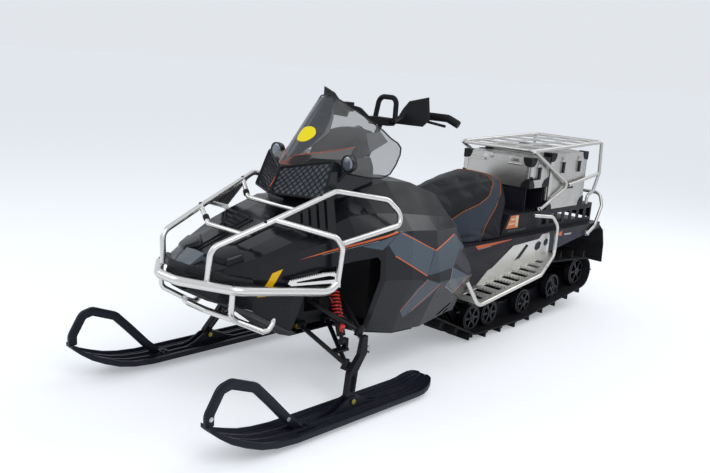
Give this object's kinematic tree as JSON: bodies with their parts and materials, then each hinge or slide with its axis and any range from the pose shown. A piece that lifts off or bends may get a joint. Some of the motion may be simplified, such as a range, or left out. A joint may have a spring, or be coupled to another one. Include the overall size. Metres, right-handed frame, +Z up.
{
  "type": "utility snowmobile",
  "caption": "Snowmobile with steered skis, tubular front bumper, rubber track, long seat and a tubular rack over two luggage cases.",
  "frame": {"origin": "on the ground under the middle of the machine's length", "axes": "+X forward, +Y to the rider's left, +Z up"},
  "size_m": [3.2, 1.114, 1.2642],
  "materials": {
    "body_gloss": "glossy black",
    "body_satin": "satin black",
    "tray": "moulded black, dull",
    "screen": "smoked clear",
    "lamp": "black shell with clear front",
    "seat_cover": "black seat cover with orange piping",
    "case_metal": "rolled aluminium sheet",
    "engine": "plain block",
    "sheet_black": "black painted sheet",
    "board_metal": "bare pressed aluminium",
    "frame_dark": "dark painted steel",
    "arm_black": "black painted tube",
    "shock": "red painted spring over a dark damper",
    "spindle_metal": "black anodised forging",
    "ski_plastic": "black moulded plastic",
    "rod_steel": "bare steel",
    "bar": "black bar with rubber grips",
    "guard": "black moulded plastic",
    "tube_silver": "bright silver tube",
    "track_rubber": "black rubber",
    "rail": "black anodised rail",
    "wheel": "dark moulded wheels with rubber rims",
    "flap": "black rubber flap",
    "tail_red": "red lens"
  },
  "bodies": {
    "chassis": {"belly_pan": "tray", "nose_cap": "body_satin", "hood": "body_gloss", "front_fairings": "body_gloss", "side_panels": "body_gloss", "console": "body_satin", "headlight_pod": "body_gloss", "spot_lamps": "lamp", "windshield": "screen", "seat": "seat_cover", "seat_base": "body_satin", "rear_case": "body_satin", "engine_block": "engine", "tunnel": "sheet_black", "running_boards": "board_metal", "bulkhead": "frame_dark", "control_arms": "arm_black", "shocks": "shock", "bumper_main": "tube_silver", "bumper_rails": "tube_silver", "track": "track_rubber", "slide_rails": "rail", "track_wheels": "wheel", "drive_axle": "frame_dark", "track_suspension": "arm_black", "rear_deck": "board_metal", "cage": "tube_silver", "box_front": "case_metal", "box_rear": "case_metal", "rear_bumper": "tube_silver", "snow_flap": "flap", "tail_lamp": "tail_red"},
    "handlebar": {"steering_post": "frame_dark", "handlebar": "bar", "hand_guards": "guard"},
    "ski_left": {"ski_left": "ski_plastic", "ski_handle_left": "ski_plastic", "spindle_left": "spindle_metal"},
    "ski_right": {"ski_right": "ski_plastic", "ski_handle_right": "ski_plastic", "spindle_right": "spindle_metal"},
    "tie_rod_left": {"tie_rod_left": "rod_steel"},
    "tie_rod_right": {"tie_rod_right": "rod_steel"},
    "front_lid": {"box_front_lid": "case_metal"},
    "rear_lid": {"box_rear_lid": "case_metal"}
  },
  "joints": [
    {"name": "steering", "type": "hinge", "parent": "chassis", "child": "handlebar", "pos_m": [0.672, 0, 0.4], "axis": [-0.454, 0, 0.891], "range_deg": [-35, 35]},
    {"name": "ski_left_steer", "type": "hinge", "parent": "chassis", "child": "ski_left", "pos_m": [0.785, 0.405, 0.321], "axis": [-0.454, 0, 0.891], "range_deg": [-28.5, 28.5]},
    {"name": "ski_right_steer", "type": "hinge", "parent": "chassis", "child": "ski_right", "pos_m": [0.785, -0.405, 0.321], "axis": [-0.454, 0, 0.891], "range_deg": [-28.5, 28.5]},
    {"name": "tie_rod_left_swing", "type": "hinge", "parent": "ski_left", "child": "tie_rod_left", "pos_m": [0.73523, 0.405, 0.22044], "axis": [-0.454, 0, 0.891], "range_deg": [-28.5, 28.5]},
    {"name": "tie_rod_right_swing", "type": "hinge", "parent": "ski_right", "child": "tie_rod_right", "pos_m": [0.73523, -0.405, 0.22044], "axis": [-0.454, 0, 0.891], "range_deg": [-28.5, 28.5]},
    {"name": "front_lid_hinge", "type": "hinge", "parent": "chassis", "child": "front_lid", "pos_m": [-0.674, 0, 0.90615], "axis": [0, 1, 0], "range_deg": [0, 5]},
    {"name": "rear_lid_hinge", "type": "hinge", "parent": "chassis", "child": "rear_lid", "pos_m": [-1.087, -0.228, 0.92615], "axis": [1, 0, 0], "range_deg": [0, 2.5]}
  ],
  "couplings": [
    {"joint": "ski_left_steer", "follows": "steering", "ratio": 0.8},
    {"joint": "ski_right_steer", "follows": "steering", "ratio": 0.8},
    {"joint": "tie_rod_left_swing", "follows": "steering", "ratio": -0.8},
    {"joint": "tie_rod_right_swing", "follows": "steering", "ratio": -0.8}
  ]
}
